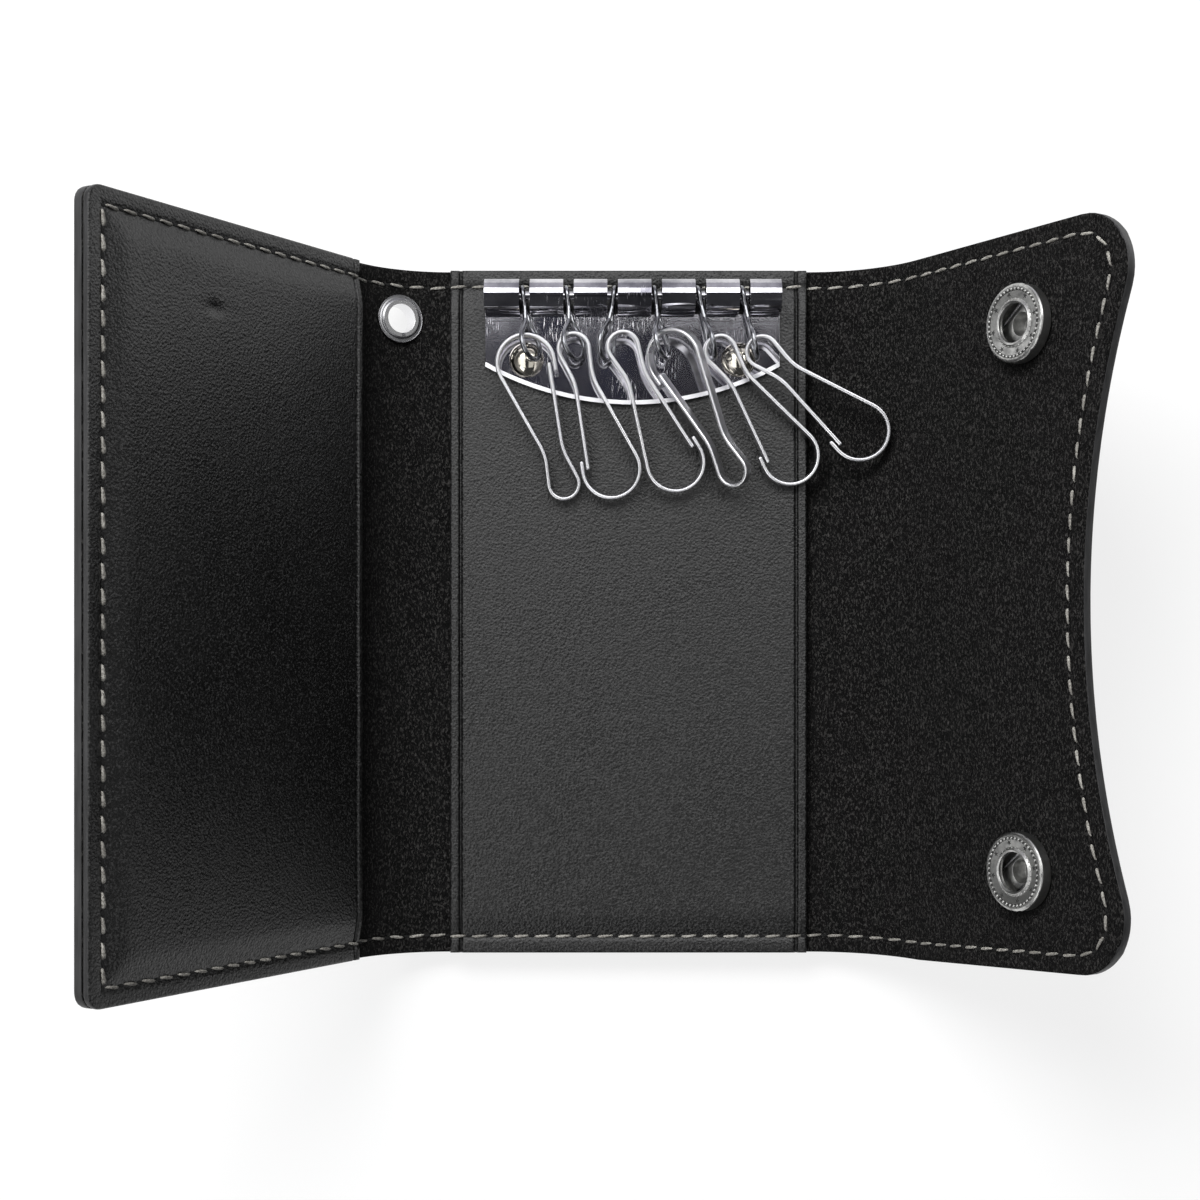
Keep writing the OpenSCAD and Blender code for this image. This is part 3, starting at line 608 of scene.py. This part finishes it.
# Lining of the left flap: the same smooth leather, sewn on three sides and open at the
# fold. It swells softly between the seams and has a small old dent near its top.
lining_start = gusset_end + 0.35
dent_s, dent_y, dent_depth = 82.2, 43.4, 0.42


def refined(places, low, high):
    """The places with closer ones between low and high."""
    return [*(p for p in places if p < low - 0.6), *spaced((low, 0.4, high)),
            *(p for p in places if p > high + 0.4)]


low, free, high = left_edges(-lining_start)
run = fold_run(lining_start + 2.3, lining_start + 5.6, gusset_end + left_w)
cols = share_of([*spaced((lining_start, 0.4, lining_start + 0.8),
                         (lining_start + 0.8, 0.12, lining_start + 1.9)),
                 *refined(run, 80, 84.4)])
dent_rows = share_of(refined(sewn_rows(-half_case, half_case), 41, 46))
sheet = cut_leather("lining_left_flap", panel_t, panel_t, straight(-lining_start), low, free,
                    high, cols, dent_rows, [low, free, high, straight(-lining_start)])


def lining_lift(s, y, d):
    """The lining's height over the hide, from the seams inwards, with soft waves."""
    swell = ease((d - border) / 4)
    wave = noise.noise(Vector((s / 17, y / 23, 3.1)))
    dent = math.exp(-(((s + dent_s) / 1.6) ** 2 + ((y - dent_y) / 0.9) ** 2))
    return sewn_gap + swell * (0.6 + 0.16 * wave) - dent_depth * dent


lay_leather(sheet, panel_t, panel_t, [low, free, high],
            [smooth_leather, suede, edge_leather], lining_lift, (0.26, 0),
            (-(lining_start + 1.35),))
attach(sheet, "left_flap")
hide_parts("left_flap_lining")

# Thread: pale waxed thread in a saddle stitch along the whole edge. Each stitch is a short
# twisted length that dips into an awl hole at both ends and lies in a pressed groove.
waxed_thread, tree, output = new_material("waxed_thread")
where = add_node(tree, "TexCoord").outputs["Object"]
fuzz = add_node(tree, "TexNoise", {"Vector": where, "Scale": 3200.0, "Detail": 3.0})
soil = add_node(tree, "TexNoise", {"Vector": where, "Scale": 160.0, "Detail": 2.0})
base = mixed(tree, ramp(tree, soil, 0.4, 0.65), "#989690", "#73716c")
base = mixed(tree, ramp(tree, fuzz, 0.35, 0.6), "#54514d", base)
bump = add_node(tree, "Bump", {"Height": fuzz.outputs[0], "Strength": 0.6, "Distance": 0.0001})
strand = add_node(tree, "BsdfPrincipled", {"Base Color": base, "Roughness": 0.62,
                                           "Normal": bump.outputs[0], "IOR": 1.5})
tree.links.new(strand.outputs[0], output.inputs["Surface"])
# Flat black discs at both ends of each stitch stand in for the awl holes. They are painted shade inside the
# holes.
painted_awl_hole_shade, tree, output = new_material("awl_hole_shade")
dark = add_node(tree, "BsdfPrincipled", {"Base Color": colour("#060606"), "Roughness": 0.95})
tree.links.new(dark.outputs[0], output.inputs["Surface"])

thread_r, stitch_l, stitch_pitch, stitch_twist = 0.30, 2.75, 3.5, math.radians(150)


def taken(thing):
    """The points and faces of an object, which goes."""
    shape = np.array([vertex.co for vertex in thing.data.vertices])
    faces = [list(face.vertices) for face in thing.data.polygons]
    bpy.data.objects.remove(thing)
    return shape, faces


def built(name, points, faces, materials, marks, smooth):
    """A new object whose faces have the material of their mark."""
    mesh = bpy.data.meshes.new(name)
    mesh.from_pydata(points, [], faces)
    for material in materials:
        mesh.materials.append(material)
    mesh.polygons.foreach_set("material_index", marks)
    mesh.polygons.foreach_set("use_smooth", smooth)
    thing = bpy.data.objects.new(name, mesh)
    bpy.context.collection.objects.link(thing)
    edit(thing)
    bpy.ops.mesh.normals_make_consistent(inside=False)
    close()
    return thing


bpy.ops.mesh.primitive_cylinder_add(vertices=8, radius=thread_r, depth=stitch_l,
                                    rotation=(0, math.pi / 2, 0))
stitch = bpy.context.object
bpy.ops.object.transform_apply(location=True, rotation=True, scale=True)
edit(stitch, lambda edge: abs(edge.verts[0].co.x - edge.verts[1].co.x) > 1)
bpy.ops.mesh.subdivide(number_cuts=7)
close()
for vertex in stitch.data.vertices:
    x, y, z = vertex.co
    share = abs(x) / (stitch_l / 2)
    turn = stitch_twist * x / stitch_l
    thin = 1 - 0.35 * share ** 4
    flat, up = y * 1.18 * thin, z * 0.82 * thin
    vertex.co = (x, flat * math.cos(turn) - up * math.sin(turn),
                 flat * math.sin(turn) + up * math.cos(turn) - 0.62 * share ** 5)
stitch_shape, stitch_faces = taken(stitch)
# The disc for an awl hole is a flattened sphere in the black of the painted hole shade.
bpy.ops.mesh.primitive_uv_sphere_add(segments=10, ring_count=4, radius=1)
pit_shape, pit_faces = taken(bpy.context.object)
pit_shape = pit_shape * (0.55, 0.3, 0.05)
pit_faces.sort()  # Blender gives a sphere's faces in a new order on each run


def inner_top(s):
    """Height of the inner surface that the thread lies on, over the hide's inner face."""
    lined = s < -lining_start or abs(s) < half_back
    return sewn_gap + panel_t if lined else 0.0


def seam_line():
    """The whole seam in the flat, corner by corner, a fixed way in from the edge."""
    end = -(gusset_end + left_w) + seam_in
    y = half_case - seam_in
    top = [(s, y) for s in spaced((end, 6, wall_end))]
    low = [(s, -y) for s in spaced((end, 6, wall_end))]
    inset = 3.2  # the scooped edge's seam lies further in than the straight ones
    r = horn_r - inset
    top += arc((top_x, top_y + inset - seam_in), r, 90, -top_turn, 12)
    low += arc((low_x, -low_y - inset + seam_in), r, -90, low_turn, 12)
    scoop_line = arc((scoop_x, 0), scoop_r + inset, 180 + low_turn, 180 - top_turn, 40)
    return [[(end, -y), (end, y)], top + scoop_line[:0:-1] + low[::-1]]


sink_in, sink_out, pit_sink = 0.05, 0.14, 0.12
groups = {"left_flap": [], "left_back": [], "right_back": [], "right_flap": []}
column, edge_row = seam_line()
for line in (column, edge_row):
    points = np.array(line)
    length = np.linalg.norm(np.diff(points, axis=0), axis=1).sum()
    count = round(length / stitch_pitch)
    holes = polyline(points, np.arange(count + 1) / count)
    for a, b in zip(holes[:-1], holes[1:]):
        s = (a[0] + b[0]) / 2
        group = ("left_flap" if s < -gusset_mid else "left_back" if s < 0
                 else "right_back" if s < wall_mid else "right_flap")
        groups[group].append((a, b, line is column))
for group, stitches in groups.items():
    points, faces, marks = [], [], []
    for a, b, upright in stitches:
        middle, run = (a + b) / 2, (b - a) / np.linalg.norm(b - a)
        jitter = noise.noise(Vector((middle[0] / 3, middle[1] / 3, 7.7)))
        turn = math.radians(7 if upright else -8 if group == "left_flap" else 4) + 0.06 * jitter
        bulk = 1 if upright else 0.72
        along = np.array([run[0] * math.cos(turn) - run[1] * math.sin(turn),
                          run[0] * math.sin(turn) + run[1] * math.cos(turn)])
        across = np.array([-along[1], along[0]])
        for base_h, sign in ((inner_top(middle[0]) - sink_in, 1), (-hide + sink_out, -1)):
            for shape, shape_faces, mark, spot, sink in (
                    (stitch_shape, stitch_faces, 0, middle, 0),
                    (pit_shape, pit_faces, 1, a, pit_sink)):
                first = len(points)
                for x, y, z in shape:
                    flat = spot + along * x * (1 + 0.05 * jitter) + across * y * bulk
                    points.append(folded(flat[0], flat[1],
                                         base_h - sign * sink + sign * z * bulk))
                faces += [[first + i for i in f[::sign]] for f in shape_faces]
                marks += [mark] * len(shape_faces)
    thread = built("thread_" + group, points, faces, [waxed_thread, painted_awl_hole_shade], marks,
                   [True] * len(faces))
    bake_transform(thread)

# Metal: the metal pieces are smoothed copies of their CAD pieces, most of them with their sharp
# edges broken by a fine bevel that catches the light.
body_of = {node: body for body, nodes in frame["record"]["behaviour"]["bodies"].items()
           for node in nodes}


def dress(node, name, material, bevel=0.1, angle=32, round_off=0):
    """Copies a CAD piece, merges its triangles, breaks its edges and gives it its finish.
    The bevel is in mm and breaks edges sharper than angle, in degrees."""
    copy = frame["nodes"][node].copy()
    copy.data = copy.data.copy()
    copy.parent = None
    for key in list(copy.keys()):
        del copy[key]
    copy.name = copy.data.name = name
    bpy.context.collection.objects.link(copy)
    edit(copy)
    bpy.ops.mesh.remove_doubles(threshold=1e-6)
    if bevel:
        bpy.ops.mesh.dissolve_limited(angle_limit=math.radians(0.3))
    close()
    if bevel:
        modify(copy, "BEVEL", width=bevel * MM, segments=3, limit_method="ANGLE",
               angle_limit=math.radians(angle))
    if round_off:
        modify(copy, "SUBSURF", levels=round_off, render_levels=round_off)
    copy.data.materials.clear()
    copy.data.materials.append(material)
    copy.select_set(True)
    bpy.context.view_layer.objects.active = copy
    bpy.ops.object.shade_smooth_by_angle(angle=math.radians(angle + 4))
    if bevel:
        modify(copy, "WEIGHTED_NORMAL", keep_sharp=True)
    copy.select_set(False)
    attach(copy, body_of[node])
    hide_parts(node)
    return copy


def plated(name, light, dark, smooth, worn, smudge=90.0, scuffs=0.0):
    """Plated metal: mirror-like, with faint smudges, fine handling marks and patches of
    scuffs, drawn coarser than real ones so that they show."""
    material, tree, output = new_material(name)
    where = add_node(tree, "TexCoord").outputs["Object"]
    stain = add_node(tree, "TexNoise", {"Vector": where, "Scale": smudge, "Detail": 5.0,
                                        "Roughness": 0.6})
    marks = add_node(tree, "TexNoise", {"Vector": where, "Scale": 2600.0, "Detail": 2.0})
    tone = mixed(tree, ramp(tree, stain, 0.4, 0.7), light, dark)
    rough = ramp(tree, stain, 0.35, 0.75, smooth, worn)
    if scuffs:
        patch = add_node(tree, "TexNoise", {"Vector": where, "Scale": 130.0, "Detail": 2.0})
        patch = ramp(tree, patch, 0.50, 0.68, 0.0, scuffs)
        for turn in (0.5, -0.75):
            comb = add_node(tree, "Mapping", {"Vector": where, "Rotation": (0, 0, turn),
                                              "Scale": (5200, 420, 420)})
            lines = add_node(tree, "TexNoise", {"Vector": comb.outputs[0], "Scale": 1.0,
                                                "Detail": 1.0})
            thin = ramp(tree, lines, 0.63, 0.74)
            rough = add_node(tree, "Math", {0: thin.outputs[0], 1: patch.outputs[0],
                                            2: rough.outputs[0]}, operation="MULTIPLY_ADD")
    bump = add_node(tree, "Bump", {"Height": marks.outputs[0], "Strength": 0.05,
                                   "Distance": 0.00005})
    metal = add_node(tree, "BsdfPrincipled", {"Base Color": tone, "Metallic": 1.0,
                                              "Roughness": rough.outputs[0],
                                              "Normal": bump.outputs[0]})
    tree.links.new(metal.outputs[0], output.inputs["Surface"])
    return material


# Key row: a pressed steel plate with a rolled barrel, nickel-plated and a little stained,
# an axle wire through the barrel, and two round rivets with washers under the panel.
row_nickel = plated("stained_nickel_plate", "#dcdbdf", "#6a6973", 0.04, 0.14, scuffs=0.34)
# The rim's copy of the plating is rougher and paler. The roughness is rubbed wear, and the paler colour is a
# painted highlight along the rim.
rubbed_highlight_nickel = plated("rubbed_nickel_rim_painted_highlight", "#f0f0f2", "#dcdce0", 0.3, 0.42)
rivet_nickel = plated("warm_nickel_rivet", "#efeade", "#cfc9bb", 0.06, 0.15)
rim_z, barrel_y = 4.46, 45
plate = dress("key_plate", "row_plate", row_nickel, 0.16)
# The raised rim's top faces take the paler copy, which is a painted highlight.
plate.data.materials.append(rubbed_highlight_nickel)
for face in plate.data.polygons:
    if face.center.z > rim_z * MM and face.center.y < barrel_y * MM:
        face.material_index = 1
dress("axle", "row_axle", row_nickel, 0.1)
for side in ("left", "right"):
    dress("rivet_" + side, "row_rivet_" + side, rivet_nickel, 0)
    dress("rivet_washer_" + side, "row_rivet_washer_" + side, row_nickel, 0.06)

# Hangers: dark nickel-plated wire bent to a small and a large eye, with a twist between.
hanger_nickel = plated("dark_nickel_wire", "#9b9ca0", "#74757a", 0.12, 0.24)
for k in range(1, 7):
    dress(f"hanger_{k}", f"hanger_wire_{k}", hanger_nickel, 0, 60, 1)

# Clips: bright nickel-plated spring strip on edge, bent to two loops and a gate.
clip_nickel = plated("bright_nickel_strip", "#ececee", "#d6d6da", 0.26, 0.4)
for k in range(1, 7):
    dress(f"clip_{k}", f"clip_strip_{k}", clip_nickel, 0.26, 40)

# Eyelet: nickel-plated brass, rolled over a washer on the inside. The rings that turning
# left on it are drawn coarser than real ones so that they show.
eyelet_nickel = plated("eyelet_nickel", "#a9a9ab", "#88888b", 0.2, 0.34)
eyelet_centre, bore_r = folded(*eyelet_at, 0), 2.46
tree = eyelet_nickel.node_tree
where = tree.nodes["Texture Coordinate"].outputs["Object"]
turned = add_node(tree, "Mapping", {"Vector": where, "Location": eyelet_centre,
                                    "Rotation": (0, eyelet_lean, 0)}, vector_type="TEXTURE")
rings = add_node(tree, "TexWave", {"Vector": turned.outputs[0], "Scale": 420.0,
                                   "Distortion": 0.4}, wave_type="RINGS", rings_direction="Z")
lathe = add_node(tree, "Bump", {"Height": rings.outputs[0], "Strength": 0.35,
                                "Distance": 0.00012})
tree.links.new(lathe.outputs[0], tree.nodes["Principled BSDF"].inputs["Normal"])
# The bore's inner wall gets a near-white copy of the plating. This is a painted reflection of the white floor
# seen through the hole.
bore_painted_reflection = plated("eyelet_bore_painted_reflection", "#f4f4f5", "#e6e6e8", 0.12, 0.2)
tube = dress("eyelet", "eyelet_tube", eyelet_nickel, 0.05)
tube.data.materials.append(bore_painted_reflection)
bore_axis = Vector((math.sin(eyelet_lean), 0, math.cos(eyelet_lean)))
# Faces inside the bore take the near-white painted reflection.
for face in tube.data.polygons:
    out = face.center - eyelet_centre
    if (out - bore_axis * out.dot(bore_axis)).length < bore_r * MM:
        face.material_index = 1
dress("eyelet_washer", "eyelet_ring", eyelet_nickel, 0.06)

# Snaps: gunmetal-plated press fasteners with steel springs, sockets and caps on the right
# flap, studs and posts on the left one.
gunmetal = plated("gunmetal_plate", "#c2c2c0", "#8f8f8e", 0.28, 0.45, 700.0)
spring_steel = plated("spring_steel", "#b9b9bb", "#9c9ca0", 0.15, 0.25)
for place in ("top", "bottom"):
    dress("snap_cap_" + place, "cap_" + place, gunmetal, 0.06)
    dress("snap_socket_" + place, "socket_" + place, gunmetal, 0.06)
    dress("snap_spring_" + place, "spring_" + place, spring_steel, 0, 50)
    dress("snap_stud_" + place, "stud_" + place, gunmetal, 0.06)
    dress("stud_post_" + place, "post_" + place, spring_steel, 0.06)

# Stamped trim of the sockets: a ring of beads round the rim, finer ones on the collar, and
# small stars between them whose low ground has gone black.
tarnish, tree, output = new_material("tarnished_stamping")
where = add_node(tree, "TexCoord").outputs["Object"]
soot = add_node(tree, "TexNoise", {"Vector": where, "Scale": 2400.0, "Detail": 2.0})
tone = mixed(tree, soot, "#0c0c0c", "#4a4a49")
film = add_node(tree, "BsdfPrincipled", {"Base Color": tone, "Metallic": 0.4,
                                         "Roughness": 0.55})
tree.links.new(film.outputs[0], output.inputs["Surface"])
socket_rim, socket_dish, socket_r, dish_r = 2.52, 2.295, 5.5, 3.7
rim_ring, collar_ring, star_ring, bead_r, fine_bead_r = 5.12, 3.62, 4.42, 0.24, 0.16
bpy.ops.mesh.primitive_ico_sphere_add(subdivisions=2, radius=1)
bead_shape, bead_faces = taken(bpy.context.object)
bpy.ops.mesh.primitive_torus_add(major_radius=rim_ring, minor_radius=bead_r,
                                 major_segments=64, minor_segments=6)
groove_shape, groove_faces = taken(bpy.context.object)
groove_shape = groove_shape * (1, 1, 0.3)
bpy.ops.mesh.primitive_cylinder_add(vertices=10, radius=0.5, depth=0.06)
star_shape, star_faces = taken(bpy.context.object)
turns = np.degrees(np.arctan2(star_shape[:, 1], star_shape[:, 0]))
turns = np.round((turns - 90) / 36).astype(int)
star_shape[turns % 2 == 1, :2] *= 0.38
for place, y in zip(("top", "bottom"), snap_rows):
    points, faces, marks = [], [], []
    for count, ring_r, h, shape, shape_faces, size, mark in (
            (1, 0, socket_rim - 0.05, groove_shape, groove_faces, 1, 1),
            (42, rim_ring, socket_rim + 0.01, bead_shape, bead_faces, bead_r, 0),
            (32, collar_ring, socket_dish + 0.04, bead_shape, bead_faces, fine_bead_r, 0),
            (8, star_ring, (socket_rim + socket_dish) / 2 - 0.035, star_shape, star_faces,
             1, 1)):
        for k in range(count):
            a = 2 * math.pi * (k + 0.5 * (mark == 0)) / count + 0.2
            slope = (socket_rim - socket_dish) if ring_r == star_ring else 0
            first = len(points)
            for u, v, w in shape * size:
                r = ring_r + u
                lean = (r - ring_r) * slope / (socket_r - dish_r)
                points.append(folded(wall_end + snap_s + r * math.cos(a) - v * math.sin(a),
                                     y + r * math.sin(a) + v * math.cos(a), h + w + lean))
            faces += [[first + i for i in f] for f in shape_faces]
            marks += [mark] * len(shape_faces)
    trim = built("socket_trim_" + place, points, faces, [gunmetal, tarnish], marks,
                 [mark == 0 for mark in marks])
    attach(trim, "right_flap")

low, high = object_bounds()
